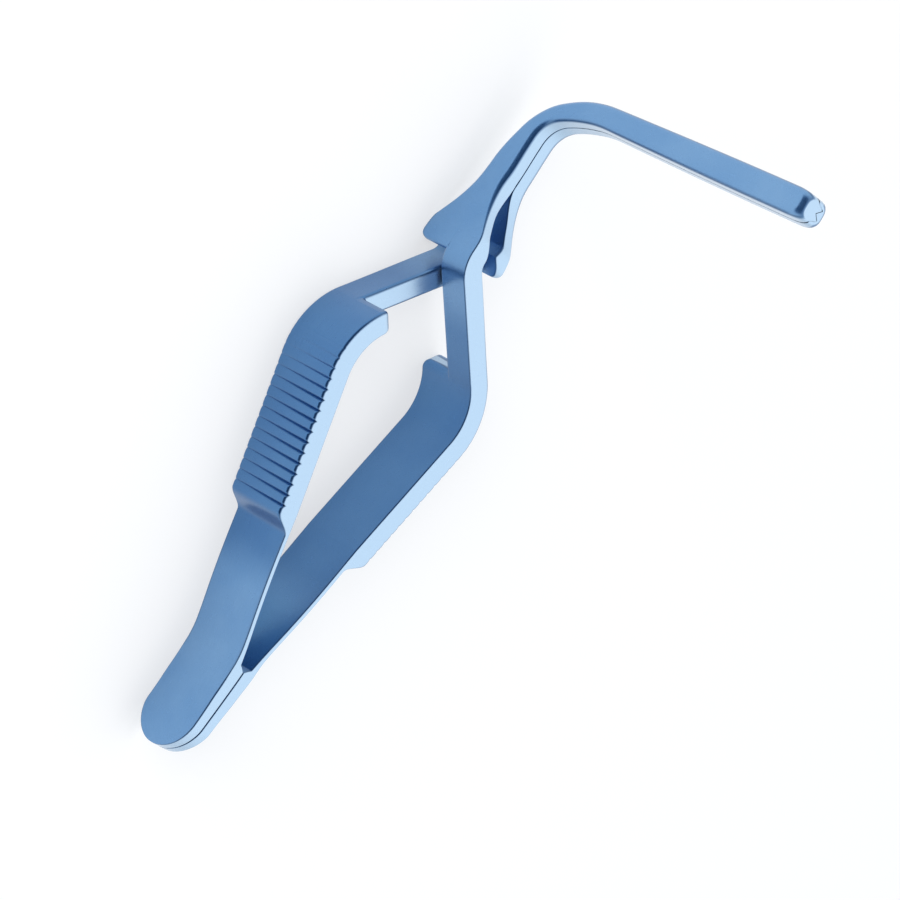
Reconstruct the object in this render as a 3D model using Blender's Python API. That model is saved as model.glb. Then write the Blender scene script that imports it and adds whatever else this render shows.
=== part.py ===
"""Cross-action bulldog clamp: two forged spring arms welded at the butt, serrated thumb pads,
necks that pass each other side by side, and straight atraumatic jaws turned up at a right angle.

Each arm is worked out along a guide line in millimetres, x away from the other arm at the handle,
y from the butt to the jaws and z across the width. The other arm is the same arm turned half a turn
about y, with its jaw turned up the same way.
"""
import math

import bmesh
import bpy
import numpy as np

MM = 0.001

# Strip width and the room between the two arms
WIDTH = 10.4
WELD_GAP = 0.10
NECK_GAP = 0.30
JAW_GAP = 0.16

# Butt and weld
BUTT_LENGTH = 14.0
BUTT_END_THICK = 1.4
BUTT_THICK = 2.05
NOTCH_THICK = 1.35
NOTCH_RUN = 0.9

# Spring strip
SPRING_LENGTH = 18.7
SPRING_THICK = 0.75
SPRING_ROOT_LENGTH = 7.0
SPRING_ROOT_WAIST = 3.2
SPRING_ROOT_THICK = 0.83
SPRING_BOW = 0.35
SPREAD_LEAD = 2.4
SPREAD_RADIUS = 15.0
SPREAD_ANGLE = math.radians(15.05)

# Thumb pad
PAD_LENGTH = 26.6
PAD_THICK = 3.4
PAD_STEP = 3.1
GROOVE_COUNT = 16
GROOVE_PITCH = 1.5
GROOVE_WIDTH = 1.0
GROOVE_DEPTH = 0.42
GROOVE_FADE_COUNT = 5
GROOVE_LEAD = 0.9

# Shoulder and neck
SHOULDER_RADIUS = 8.0
SHOULDER_LIP = 0.35
LIP_CORNER = 0.85
NECK_THICK = 3.2
NECK_ANGLE = math.radians(46.0)

# Head and shank
HEAD_APEX = 3.83
HEAD_RADIUS = 5.0
HEAD_LEAN = math.radians(4.9)
HEAD_LEAN_RADIUS = 15.0
HEAD_THICK = 1.85
HEAD_THINNING = 3.3
HEAD_PLATE_LEAD = 2.1
HEAD_PLATE_LENGTH = 2.1
HEAD_CLOSE_LENGTH = 8.9
HEAD_TAPER_LEAD = 2.3
HEAD_TAPER_LENGTH = 8.6
HEAD_TAPER_POWER = 1.9
SHANK_THICK = 2.55
SHANK_WIDTH = 4.5
SHANK_LENGTH = 15.27

# Free end of the head, beside the other arm's neck
FREE_END_LENGTH = 3.3
FREE_END_THICK = 0.9
FREE_END_CORNER = 0.8
FREE_END_SIDE_CORNER = 1.4
FREE_END_FLARE = 0.15
FREE_END_LIFT = 0.5
FREE_END_ROOT = 1.8
FREE_END_PROUD = 0.03
FREE_END_SINK = 0.2

# Upturned jaw
RISE_RUN = 8.0
RISE_HEIGHT = 1.6
RISE_RADIUS = 36.0
HEEL_RADIUS = 6.6
HEEL_WIDTH = 2.6
LEAN_RUN = 3.25
LEAN_LENGTH = 7.2
LEAN_RADIUS = 19.5
LEAN_WIDTH = 3.25
JAW_RUN = 0.4
JAW_HEIGHT = 49.9
JAW_WIDTH = 4.0
TOOTH_LEAD = 9.0
TOOTH_PITCH = 1.6
TOOTH_DEPTH = 0.3
RIDGE_HEIGHT = 1.5
RIDGE_SPACING = 1.6
CREST_WIDTH = 0.3
VALLEY_HEIGHT = 0.5
VALLEY_WIDTH = 0.2
TIP_TAPER = 2.5
TIP_WIDTH = 3.3
TIP_ROUND = 1.1
TIP_INSET = 0.95
TIP_SIDE_INSET = 0.3

# Edge rounding
ARC_STEPS = 3
NOTCH_CORNER = 0.5
BUTT_EDGE = 0.28
SPRING_EDGE = 0.16
PAD_EDGE = 0.45
NECK_EDGE = 0.2
SHANK_EDGE = 0.85
TIP_EDGE = 1.3
SEAM_EDGE = 0.12
LARGEST_EDGE_SHARE = 0.75
LARGEST_LEVEL_SHARE = 0.3
LARGEST_TIP_SHARE = 0.8

# Fineness of the guide lines, and how many rings each length of the arm takes
LINE_STEP = 0.05
FILLET_POINTS = 25
GUIDE_END = 180.0
WELD_DISTANCE = 0.001
SHARP_ANGLE = math.radians(20)
FIRST_BUTT_TURN = 0.1
FIRST_CORNER_TURN = 0.3
ROUND_RINGS = 10
BUTT_RINGS = 5
SPRING_RINGS = 11
STEP_RINGS = 9
GROOVE_SAMPLES = 600
PAD_END_RINGS = 4
NECK_RINGS = 5
HEAD_RINGS = 9
PLATE_RINGS = 4
CLOSE_RINGS = 9
SHANK_RINGS = 4
BEND_RINGS = 30
TIP_RINGS = 6
CORNER_RINGS = 6
FREE_END_RINGS = 5

TITANIUM_BLUE = (0.055, 0.165, 0.42, 1.0)


def monotone(at, knots):
    """Smooth curve through (place, value) knots that never overshoots them."""
    place = np.array([knot[0] for knot in knots])
    value = np.array([knot[1] for knot in knots])
    step = np.diff(place)
    slope = np.diff(value) / step
    tangent = np.zeros(len(place))
    same = slope[:-1] * slope[1:] > 0
    tangent[1:-1][same] = 2 * slope[:-1][same] * slope[1:][same] / (slope[:-1] + slope[1:])[same]
    at = np.clip(at, place[0], place[-1])
    span = np.clip(np.searchsorted(place, at) - 1, 0, len(step) - 1)
    u = (at - place[span]) / step[span]
    rise = value[span + 1] - value[span]
    blend = u * u * (3 - 2 * u)
    start = step[span] * tangent[span] * u * (1 - u) ** 2
    end = step[span] * tangent[span + 1] * u * u * (u - 1)
    return value[span] + rise * blend + start + end


def filleted(corners, radii):
    """Points along a chain of straight runs whose inner corners are rounded to the radii."""
    corners = [np.array(corner, float) for corner in corners]
    points = [corners[0]]
    for before, corner, after, radius in zip(corners, corners[1:], corners[2:], radii):
        inward = (before - corner) / np.linalg.norm(before - corner)
        onward = (after - corner) / np.linalg.norm(after - corner)
        half = 0.5 * math.acos(np.clip(inward @ onward, -1, 1))
        middle = (inward + onward) / np.linalg.norm(inward + onward)
        centre = corner + middle * radius / math.sin(half)
        start = corner + inward * radius / math.tan(half) - centre
        end = corner + onward * radius / math.tan(half) - centre
        sweep = math.pi - 2 * half
        for turn in np.linspace(0, 1, FILLET_POINTS):
            spoke = math.sin((1 - turn) * sweep) * start + math.sin(turn * sweep) * end
            points.append(centre + spoke / math.sin(sweep))
    points.append(corners[-1])
    return np.array(points)


def lengths(points):
    """Distance along a chain of points, from its first point."""
    return np.concatenate([[0], np.cumsum(np.linalg.norm(np.diff(points, axis=0), axis=1))])


def resample(points):
    """Evenly spaced points along a chain."""
    run = lengths(points)
    places = np.linspace(0, run[-1], int(run[-1] / LINE_STEP) + 2)
    return np.stack([np.interp(places, run, points[:, axis]) for axis in (0, 1)], axis=1)


# Places along the arm that follow from the sizes
PAD_FOOT = BUTT_LENGTH + SPRING_LENGTH
PAD_APEX = PAD_FOOT + PAD_LENGTH
SEAM = WELD_GAP / 2
SPREAD_START = BUTT_LENGTH - SPREAD_LEAD
PAD_APEX_OUT = SEAM + math.tan(SPREAD_ANGLE) * (PAD_APEX - SPREAD_START)
HEAD_PLACE = PAD_APEX + (PAD_APEX_OUT + HEAD_APEX) / math.tan(NECK_ANGLE)
HEAD_SLOPE = math.tan(HEAD_LEAN)
SHANK_OUT = SEAM + SHANK_THICK
LEAN_END = HEAD_PLACE + (HEAD_APEX - SHANK_OUT) / HEAD_SLOPE
RISE_START = HEAD_PLACE + SHANK_LENGTH
BEND_START = RISE_START - 0.5 * RISE_RUN
SHOULDER_TANGENT = SHOULDER_RADIUS * math.tan((SPREAD_ANGLE + NECK_ANGLE) / 2)
PAD_END = PAD_APEX - SHOULDER_TANGENT * math.cos(SPREAD_ANGLE)
NECK_START = PAD_APEX + SHOULDER_TANGENT * math.cos(NECK_ANGLE)
LIP_PLACE = NECK_START + SHOULDER_LIP
HEAD_TANGENT = HEAD_RADIUS * math.tan((NECK_ANGLE + HEAD_LEAN) / 2)
NECK_END = HEAD_PLACE - HEAD_TANGENT * math.cos(NECK_ANGLE)
HEAD_START = HEAD_PLACE + HEAD_TANGENT * math.cos(HEAD_LEAN)
HEAD_THIN = HEAD_START + HEAD_THINNING
PLATE_START = HEAD_START + HEAD_PLATE_LEAD
HEAD_CLOSE = HEAD_START + HEAD_CLOSE_LENGTH
TAPER_START = HEAD_START + HEAD_TAPER_LEAD
NOTCH_END = BUTT_LENGTH + NOTCH_RUN
HALF_WIDTH = WIDTH / 2
NOTCH_LEVEL = NECK_GAP / 2

# Guide line: the face of the arm towards the other arm at the handle, (y, x)
GUIDE = resample(filleted(
    [(0, SEAM), (SPREAD_START, SEAM), (PAD_APEX, PAD_APEX_OUT), (HEAD_PLACE, -HEAD_APEX),
     (LEAN_END, -SHANK_OUT), (GUIDE_END, -SHANK_OUT)],
    [SPREAD_RADIUS, SHOULDER_RADIUS, HEAD_RADIUS, HEAD_LEAN_RADIUS]))
GUIDE_TURN = np.arctan2(np.gradient(GUIDE[:, 1]), np.gradient(GUIDE[:, 0]))

# Bend line: the middle of the shank and jaw, (y, z)
RISE_TOP = (RISE_START + RISE_RUN, RISE_HEIGHT)
LEAN_TOP = (RISE_TOP[0] + LEAN_RUN, RISE_HEIGHT + LEAN_LENGTH)
BEND = resample(filleted(
    [(BEND_START, 0), (RISE_START, 0), RISE_TOP, LEAN_TOP, (LEAN_TOP[0] + JAW_RUN, JAW_HEIGHT)],
    [RISE_RADIUS, HEEL_RADIUS, LEAN_RADIUS]))
BEND_RUN = lengths(BEND)
BEND_TANGENT = np.gradient(BEND, axis=0)
BEND_TANGENT /= np.linalg.norm(BEND_TANGENT, axis=1)[:, None]
HEEL = BEND_START + float(np.interp(RISE_TOP[0], BEND[:, 0], BEND_RUN))
LEAN_PLACE = HEEL + LEAN_LENGTH
TIP = BEND_START + BEND_RUN[-1]
TOOTH_START = HEEL + TOOTH_LEAD
TIP_START = TIP - TIP_TAPER


def guide_at(y):
    """Guide point (x) and lean of the arm at y."""
    return np.interp(y, GUIDE[:, 0], GUIDE[:, 1]), np.interp(y, GUIDE[:, 0], GUIDE_TURN)


def closed_thickness(y):
    """Thickness that brings the arm's face to the seam between the two heads."""
    out, lean = guide_at(y)
    return (-SEAM - out) / math.cos(lean)


THICKNESS = [
    (0, BUTT_END_THICK), (SPREAD_START, BUTT_THICK), (BUTT_LENGTH, NOTCH_THICK),
    (BUTT_LENGTH + SPRING_ROOT_WAIST, SPRING_ROOT_THICK),
    (BUTT_LENGTH + SPRING_ROOT_LENGTH, SPRING_THICK), (PAD_FOOT, SPRING_THICK),
    (PAD_FOOT + PAD_STEP, PAD_THICK), (PAD_END, PAD_THICK), (LIP_PLACE, NECK_THICK),
    (HEAD_START, NECK_THICK), (HEAD_THIN, HEAD_THICK), (HEAD_THIN + HEAD_PLATE_LENGTH, HEAD_THICK),
    (HEAD_CLOSE, closed_thickness(HEAD_CLOSE)), (LEAN_END, closed_thickness(LEAN_END)),
    (TIP, closed_thickness(TIP))]

HALF_WIDTHS = [
    (LEAN_END, SHANK_WIDTH / 2), (HEEL, HEEL_WIDTH / 2), (LEAN_PLACE, LEAN_WIDTH / 2),
    (TIP_START, JAW_WIDTH / 2), (TIP, TIP_WIDTH / 2)]

# Edge rounding on the outer face of the handle, which is the face on the seam at the jaw
OUTER_EDGES = [
    (0, SPRING_EDGE), (SPREAD_START, BUTT_EDGE), (BUTT_LENGTH, SPRING_EDGE), (PAD_FOOT, SPRING_EDGE),
    (PAD_FOOT + PAD_STEP, PAD_EDGE), (LIP_PLACE, PAD_EDGE), (NECK_END, NECK_EDGE), (HEAD_THIN, NECK_EDGE),
    (HEAD_CLOSE, SEAM_EDGE), (TIP, SEAM_EDGE)]

# Edge rounding on the inner face of the handle, which is the outer face of the jaw
INNER_EDGES = [
    (0, SPRING_EDGE), (PAD_FOOT, SPRING_EDGE), (PAD_FOOT + PAD_STEP, NECK_EDGE), (HEAD_START, NECK_EDGE),
    (LEAN_END, SHANK_EDGE), (TIP_START, SHANK_EDGE), (TIP, TIP_EDGE)]


def half_width(y):
    """Half of the arm's width at y: round butt, straight handle, tapered head, slim shank and jaw."""
    if y < HALF_WIDTH:
        return math.sqrt(HALF_WIDTH ** 2 - (HALF_WIDTH - y) ** 2)
    slim = float(monotone(y, HALF_WIDTHS))
    if y < TAPER_START:
        return HALF_WIDTH
    left = max(0.0, 1 - (y - TAPER_START) / HEAD_TAPER_LENGTH)
    return slim + (HALF_WIDTH - slim) * left ** HEAD_TAPER_POWER


def spring_bow(y):
    """Outward bow of the thin strip between the notch and the pad."""
    share = np.clip((y - NOTCH_END) / (PAD_FOOT + PAD_STEP - NOTCH_END), 0, 1)
    return SPRING_BOW * np.sin(math.pi * share)


def rib(y, groove=0.0):
    """Inner point, unit direction and thickness of the arm's rib at y."""
    out, lean = guide_at(y)
    across = np.array([math.cos(lean), -math.sin(lean)])
    bow = float(spring_bow(y))
    land = (SEAM - out) / math.cos(lean)
    opened = min(max((y - BUTT_LENGTH) / NOTCH_RUN, 0.0), 1.0)
    if y < NOTCH_END:
        start = land * (1 - opened) + bow * opened
    else:
        start = bow
    thickness = float(monotone(y, THICKNESS)) + bow - start - groove
    return np.array([out, y]) + across * start, across, thickness


def quarter(step):
    """Angle of one step along a rounded edge."""
    return 0.5 * math.pi * step / ARC_STEPS


def outline(thickness, wide, edge, lip=0.0, half=False, square=False):
    """Points (through the thickness, z) of one side of a section, from its top to its bottom.

    A rounded edge, the corner of the half-width neck, and a rounded edge. lip is how far round
    its edge the shoulder has turned, half leaves only the neck, and square spreads the neck's
    corner along the flat side, as the head's end face needs.
    """
    side = []
    for step in range(ARC_STEPS + 1):
        angle = quarter(step)
        side.append((thickness - edge + edge * math.sin(angle), wide - edge + edge * math.cos(angle)))
    level = min(NOTCH_LEVEL + NOTCH_CORNER, LARGEST_LEVEL_SHARE * wide, LARGEST_EDGE_SHARE * (wide - edge))
    spread = min(NOTCH_CORNER, level)
    for step in range(ARC_STEPS + 1):
        angle = quarter(step) if square else min(quarter(step), lip)
        depth = 0.0 if square else NOTCH_CORNER * (1 - math.cos(angle))
        side.append((thickness - depth, level - spread * math.sin(angle)))
    inset = LIP_CORNER * (1 - math.cos(lip))
    for step in range(ARC_STEPS + 1):
        angle = quarter(step)
        if half:
            share = (step + 1) / (2 * ARC_STEPS + 3)
            flat = thickness - 2 * NOTCH_CORNER
            side.append((thickness - NOTCH_CORNER - share * flat, NOTCH_LEVEL))
        else:
            depth = inset + edge * (1 - math.cos(angle))
            side.append((thickness - depth, -wide + inset + edge * (1 - math.sin(angle))))
    return side


def toothed(thickness, wide, hand, jaw, tooth):
    """Points of the jaw's working side: two ridges with a valley, or the channels that take them."""
    reach = thickness - (JAW_GAP - WELD_GAP) / 2
    crest = reach + hand * (jaw * RIDGE_HEIGHT - tooth)
    valley = reach + hand * jaw * VALLEY_HEIGHT
    flank = reach + hand * jaw * (RIDGE_HEIGHT + VALLEY_HEIGHT) / 2
    ridge = RIDGE_SPACING / 2
    upper = [(reach - SEAM_EDGE, wide), (reach, wide - SEAM_EDGE), (crest, ridge + CREST_WIDTH / 2),
             (crest, ridge - CREST_WIDTH / 2), (flank, ridge / 2), (valley, VALLEY_WIDTH / 2)]
    return upper + [(depth, -place) for depth, place in reversed(upper)]


def section(y, hand, groove=0.0, lip=0.0, half=False, square=False, jaw=None, tooth=0.0, tip=0.0):
    """One closed ring of points across the arm at y. jaw is how far the ridges have risen."""
    start, across, thickness = rib(y, groove)
    wide = half_width(y) - TIP_SIDE_INSET * (1 - math.cos(tip))
    wall = thickness - SEAM_EDGE - (RIDGE_HEIGHT if hand < 0 else 0.0)
    cut = min(TIP_INSET, LARGEST_TIP_SHARE * wall) * (1 - math.cos(tip))
    start = start + across * cut
    thickness -= cut
    largest = LARGEST_EDGE_SHARE * min(thickness, wide)
    if jaw is None:
        outer = outline(thickness, wide, min(float(monotone(y, OUTER_EDGES)), largest / 2), lip, half, square)
    else:
        outer = toothed(thickness, wide, hand, jaw, tooth)
    inner = outline(thickness, wide, min(float(monotone(y, INNER_EDGES)), largest), lip, half, square)
    inner = np.array([(thickness - depth, level) for depth, level in reversed(inner)])
    ring = np.concatenate([np.array(outer), inner])
    flat = start + ring[:, :1] * across
    return np.column_stack([flat, ring[:, 1]])


def groove_rings():
    """Places and depths of the V grooves, evenly pitched along the pad's outer face."""
    places = np.linspace(PAD_FOOT, LIP_PLACE, GROOVE_SAMPLES)
    face = []
    for y in places:
        start, across, thickness = rib(y)
        face.append(start + across * thickness)
    run = lengths(np.array(face))
    first = np.interp(PAD_FOOT + PAD_STEP, places, run) + GROOVE_LEAD
    rings = []
    for index in range(GROOVE_COUNT):
        depth = GROOVE_DEPTH * min(1.0, (GROOVE_COUNT - index) / (GROOVE_FADE_COUNT + 1))
        middle = first + index * GROOVE_PITCH
        for offset, sunk in ((-GROOVE_WIDTH / 2, 0.0), (0.0, depth), (GROOVE_WIDTH / 2, 0.0)):
            rings.append((float(np.interp(middle + offset, run, places)), sunk))
    return [ring for ring in rings if ring[0] < LIP_PLACE - LIP_CORNER - NOTCH_CORNER]


def arm_rings(hand):
    """All the rings of one arm from butt to jaw tip. hand is 1 for two ridges, -1 for two channels."""
    rings = []
    for turn in np.linspace(FIRST_BUTT_TURN, 0.5 * math.pi, ROUND_RINGS):
        rings.append(section(HALF_WIDTH * (1 - math.cos(turn)), hand))
    for y in after(HALF_WIDTH, BUTT_LENGTH, BUTT_RINGS):
        rings.append(section(y, hand))
    for y in np.linspace(NOTCH_END, PAD_FOOT, SPRING_RINGS):
        rings.append(section(y, hand))
    for y in after(PAD_FOOT, PAD_FOOT + PAD_STEP, STEP_RINGS):
        rings.append(section(y, hand))
    for y, depth in groove_rings():
        rings.append(section(y, hand, groove=depth))
    last = groove_rings()[-1][0]
    for y in after(last, LIP_PLACE - LIP_CORNER, PAD_END_RINGS)[:-1]:
        rings.append(section(y, hand))
    for step in range(ARC_STEPS + 1):
        angle = quarter(step)
        rings.append(section(LIP_PLACE - LIP_CORNER * (1 - math.sin(angle)), hand, lip=angle))
    corner = quarter(ARC_STEPS)
    for y in np.linspace(LIP_PLACE, NECK_END, NECK_RINGS):
        rings.append(section(y, hand, lip=corner, half=True))
    for y in after(NECK_END, HEAD_START, HEAD_RINGS):
        rings.append(section(y, hand, lip=corner, half=True))
    for y in after(HEAD_START, PLATE_START, PLATE_RINGS):
        rings.append(section(y, hand, lip=corner, half=True))
    rings.append(section(PLATE_START, hand, square=True))
    for y in after(PLATE_START, HEAD_CLOSE, CLOSE_RINGS):
        rings.append(section(y, hand))
    for y in after(HEAD_CLOSE, RISE_START, SHANK_RINGS):
        rings.append(section(y, hand))
    for y in after(RISE_START, TOOTH_START, BEND_RINGS):
        share = max(0.0, (y - HEEL) / TOOTH_LEAD)
        rings.append(section(y, hand, jaw=share * share * (3 - 2 * share)))
    halves = 2 * int((TIP - TIP_ROUND - TOOTH_START) / TOOTH_PITCH)
    for index, y in enumerate(after(TOOTH_START, TIP - TIP_ROUND, halves)):
        rings.append(section(y, hand, jaw=1, tooth=0.0 if index % 2 else TOOTH_DEPTH))
    for angle in after(0, 0.5 * math.pi, TIP_RINGS):
        rings.append(section(TIP - TIP_ROUND * (1 - math.sin(angle)), hand, jaw=1, tip=angle))
    return np.array(rings)


def after(start, end, count):
    """Evenly spaced places past start, up to and with end."""
    return np.linspace(start, end, count + 1)[1:]


def free_end_rings():
    """Rings of the head's free end, which carries the head's plate on past the other arm's neck.

    Its outer corner and its side corner are rounded, and its inner side is cut off parallel to the
    neck. It stands a little proud of the plate where the plate stops, then sinks into it.
    """
    end = PLATE_START - FREE_END_LENGTH
    turns = np.linspace(FIRST_CORNER_TURN, 0.5 * math.pi, CORNER_RINGS)
    places = [end + FREE_END_CORNER * (1 - math.cos(turn)) for turn in turns]
    places += list(after(places[-1], PLATE_START, FREE_END_RINGS))
    places += list(after(PLATE_START, PLATE_START + FREE_END_ROOT, FREE_END_RINGS))
    cut_start = head_face(end) - FREE_END_FLARE + FREE_END_THICK
    rings = []
    for y in places:
        root = max(0.0, (y - PLATE_START) / FREE_END_ROOT)
        proud = FREE_END_PROUD - FREE_END_SINK * root
        flare = FREE_END_FLARE * max(0.0, (HEAD_START - y) / (HEAD_START - end)) ** 2
        depth = float(monotone(y, THICKNESS)) / math.cos(HEAD_LEAN)
        low_x = head_face(y) - flare - proud + rounding(y - end, FREE_END_CORNER)
        high_x = min(head_face(y) + depth + proud, cut_start + (y - end) / math.tan(NECK_ANGLE))
        low_z = -min(HALF_WIDTH, half_width(y) + proud) + rounding(y - end, FREE_END_SIDE_CORNER)
        edge = min(NECK_EDGE, (high_x - low_x) / 3)
        rings.append(rounded_box(low_x, high_x, low_z, NOTCH_LEVEL + FREE_END_LIFT, y, edge))
    return np.array(rings)


def head_face(y):
    """Outer face (x) of the head, carried straight on past the neck's bend."""
    return -HEAD_APEX + HEAD_SLOPE * (y - HEAD_PLACE)


def rounding(along, radius):
    """How far a corner of this radius lies inside its straight side, at a distance from its end."""
    left = max(0.0, radius - along)
    return radius - math.sqrt(radius ** 2 - left ** 2)


def rounded_box(low_x, high_x, low_z, high_z, y, edge):
    """Ring of a rectangle with rounded corners."""
    ring = []
    corners = ((high_x, high_z, 0), (high_x, low_z, -1), (low_x, low_z, -2), (low_x, high_z, -3))
    for corner_x, corner_z, turn in corners:
        centre_x = corner_x - edge if corner_x == high_x else corner_x + edge
        centre_z = corner_z - edge if corner_z == high_z else corner_z + edge
        for step in range(ARC_STEPS + 1):
            angle = 0.5 * math.pi * (1 + turn) - quarter(step)
            ring.append((centre_x + edge * math.cos(angle), y, centre_z + edge * math.sin(angle)))
    return np.array(ring)


def turned_up(points, hand):
    """Turns an arm to its own side, then bends the shank and jaw up along the bend line."""
    shape = points.shape
    points = points.reshape(-1, 3) * np.array([hand, 1, hand])
    run = points[:, 1] - BEND_START
    past = run > 0
    run = np.clip(run, 0, BEND_RUN[-1])
    middle = np.stack([np.interp(run, BEND_RUN, BEND[:, axis]) for axis in (0, 1)], axis=1)
    along = np.stack([np.interp(run, BEND_RUN, BEND_TANGENT[:, axis]) for axis in (0, 1)], axis=1)
    bent = points.copy()
    bent[past, 1] = (middle[:, 0] - points[:, 2] * along[:, 1])[past]
    bent[past, 2] = (middle[:, 1] + points[:, 2] * along[:, 0])[past]
    return bent.reshape(shape)


def skin(rings, name, place, material):
    """Closed object lofted through rings of equal count, with its origin at place."""
    mesh = bpy.data.meshes.new(name)
    shell = bmesh.new()
    loops = [[shell.verts.new((point - place) * MM) for point in ring] for ring in rings]
    count = len(loops[0])
    for loop, following in zip(loops, loops[1:]):
        for index in range(count):
            after = (index + 1) % count
            shell.faces.new((loop[index], loop[after], following[after], following[index]))
    shell.faces.new(reversed(loops[0]))
    shell.faces.new(loops[-1])
    bmesh.ops.remove_doubles(shell, verts=shell.verts, dist=WELD_DISTANCE * MM)
    bmesh.ops.recalc_face_normals(shell, faces=shell.faces)
    shell.to_mesh(mesh)
    shell.free()
    mesh.shade_smooth()
    mesh.set_sharp_from_angle(angle=SHARP_ANGLE)
    mesh.materials.append(material)
    piece = bpy.data.objects.new(name, mesh)
    bpy.context.scene.collection.objects.link(piece)
    piece.location = place * MM
    return piece


def join_free_end(arm, free_end):
    """Forges the head's free end onto its arm."""
    free_end.hide_render = True
    free_end.display_type = "WIRE"
    union = arm.modifiers.new("free_end", "BOOLEAN")
    union.operation = "UNION"
    union.solver = "EXACT"
    union.object = free_end


for old in list(bpy.data.objects):
    bpy.data.objects.remove(old, do_unlink=True)

blue = bpy.data.materials.new("blue_titanium")
blue.use_nodes = True
shader = blue.node_tree.nodes["Principled BSDF"]
shader.inputs["Base Color"].default_value = TITANIUM_BLUE
shader.inputs["Metallic"].default_value = 0.9
shader.inputs["Roughness"].default_value = 0.34

right_points = turned_up(arm_rings(1), 1)
left_points = turned_up(arm_rings(-1), -1)
every_point = np.concatenate([right_points.reshape(-1, 3), left_points.reshape(-1, 3)])
lowest = every_point.min(axis=0)
highest = every_point.max(axis=0)
foot = np.array([(lowest[0] + highest[0]) / 2, (lowest[1] + highest[1]) / 2, lowest[2]])
hinge = np.array([0.0, BUTT_LENGTH, 0.0]) - foot

right_arm = skin(right_points - foot, "right_arm", hinge, blue)
right_free_end = skin(turned_up(free_end_rings(), 1) - foot, "right_free_end", hinge, blue)
join_free_end(right_arm, right_free_end)

left_arm = skin(left_points - foot, "left_arm", np.zeros(3), blue)
left_free_end = skin(turned_up(free_end_rings(), -1) - foot, "left_free_end", np.zeros(3), blue)
join_free_end(left_arm, left_free_end)
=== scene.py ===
"""Cross-action bulldog clamp in blue anodised titanium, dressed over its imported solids.

Both arms are the same forging turned half a turn about the clamp's length, apart from the working
sides of the jaws. Each is worked out in millimetres on a closed ring of points carried from the butt
to the jaw's tip: y runs along the arm, x away from the other arm at the handle, and z across the strip.
"""
import math

import bmesh
import bpy
import numpy as np
from mathutils import Euler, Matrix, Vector


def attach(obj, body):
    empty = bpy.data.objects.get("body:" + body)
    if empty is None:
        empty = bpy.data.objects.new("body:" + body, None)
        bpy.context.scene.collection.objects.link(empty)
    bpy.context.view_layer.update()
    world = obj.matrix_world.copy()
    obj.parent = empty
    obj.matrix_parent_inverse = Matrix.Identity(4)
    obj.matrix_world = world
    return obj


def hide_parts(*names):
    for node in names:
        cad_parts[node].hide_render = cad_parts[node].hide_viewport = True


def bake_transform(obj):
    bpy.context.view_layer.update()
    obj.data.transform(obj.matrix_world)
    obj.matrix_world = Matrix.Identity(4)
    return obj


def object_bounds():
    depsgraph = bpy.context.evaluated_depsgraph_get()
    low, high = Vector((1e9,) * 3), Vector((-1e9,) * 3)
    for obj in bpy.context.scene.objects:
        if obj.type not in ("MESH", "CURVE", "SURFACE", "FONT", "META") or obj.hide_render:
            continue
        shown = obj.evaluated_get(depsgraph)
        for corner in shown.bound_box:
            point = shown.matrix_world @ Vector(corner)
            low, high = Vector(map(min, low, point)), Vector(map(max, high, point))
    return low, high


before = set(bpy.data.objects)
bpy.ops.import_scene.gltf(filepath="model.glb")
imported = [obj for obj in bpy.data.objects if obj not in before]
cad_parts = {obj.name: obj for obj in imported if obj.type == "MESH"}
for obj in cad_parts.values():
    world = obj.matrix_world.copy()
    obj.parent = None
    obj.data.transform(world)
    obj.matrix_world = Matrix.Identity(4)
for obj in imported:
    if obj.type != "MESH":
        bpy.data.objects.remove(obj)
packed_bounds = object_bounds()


# Path of an arm
# A strip of titanium sheet is forged and bent along this line: straight at the welded butt, spread
# at the spring, turned in at the shoulder, across the middle, then straight on to the jaws.
MM = 0.001
WELD_SEAM = 0.05
BUTT_LENGTH = 14.0
SPRING_LENGTH = 18.7
PAD_LENGTH = 26.6
SPREAD_LEAD = 2.4
SPREAD_ANGLE = math.radians(15.05)
NECK_ANGLE = math.radians(46.0)
HEAD_LEAN = math.radians(4.9)
HEAD_APEX = 3.83
SHANK_THICK = 2.55
SPREAD_RADIUS = 60.0
SHOULDER_RADIUS = 8.0
HEAD_RADIUS = 5.0
HEAD_LEAN_RADIUS = 15.0
PATH_END = 180.0
PATH_STEP = 0.05
ARC_POINTS = 33


def distances(points):
    """Distance along a chain of points, from its first point."""
    return np.concatenate([[0], np.cumsum(np.linalg.norm(np.diff(points, axis=0), axis=1))])


def filleted(corners, radii):
    """Points of a chain of straight runs whose corners are arcs: on each arc a point is the centre
    plus its two end spokes, shared out by sin((1 - t) a) and sin(t a) over sin(a)."""
    corners = np.array(corners, float)
    runs = [corners[:1]]
    turn = np.linspace(0, 1, ARC_POINTS)[:, None]
    for before, corner, after, radius in zip(corners, corners[1:], corners[2:], radii):
        inward = (before - corner) / np.linalg.norm(before - corner)
        onward = (after - corner) / np.linalg.norm(after - corner)
        half = 0.5 * math.acos(inward @ onward)
        middle = (inward + onward) / np.linalg.norm(inward + onward)
        centre = corner + middle * radius / math.sin(half)
        first = corner + inward * radius / math.tan(half) - centre
        last = corner + onward * radius / math.tan(half) - centre
        sweep = math.pi - 2 * half
        spokes = np.sin((1 - turn) * sweep) * first + np.sin(turn * sweep) * last
        runs.append(centre + spokes / math.sin(sweep))
    runs.append(corners[-1:])
    points = np.concatenate(runs)
    run = distances(points)
    even = np.linspace(0, run[-1], int(run[-1] / PATH_STEP) + 2)
    return np.column_stack([np.interp(even, run, points[:, axis]) for axis in (0, 1)])


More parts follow.
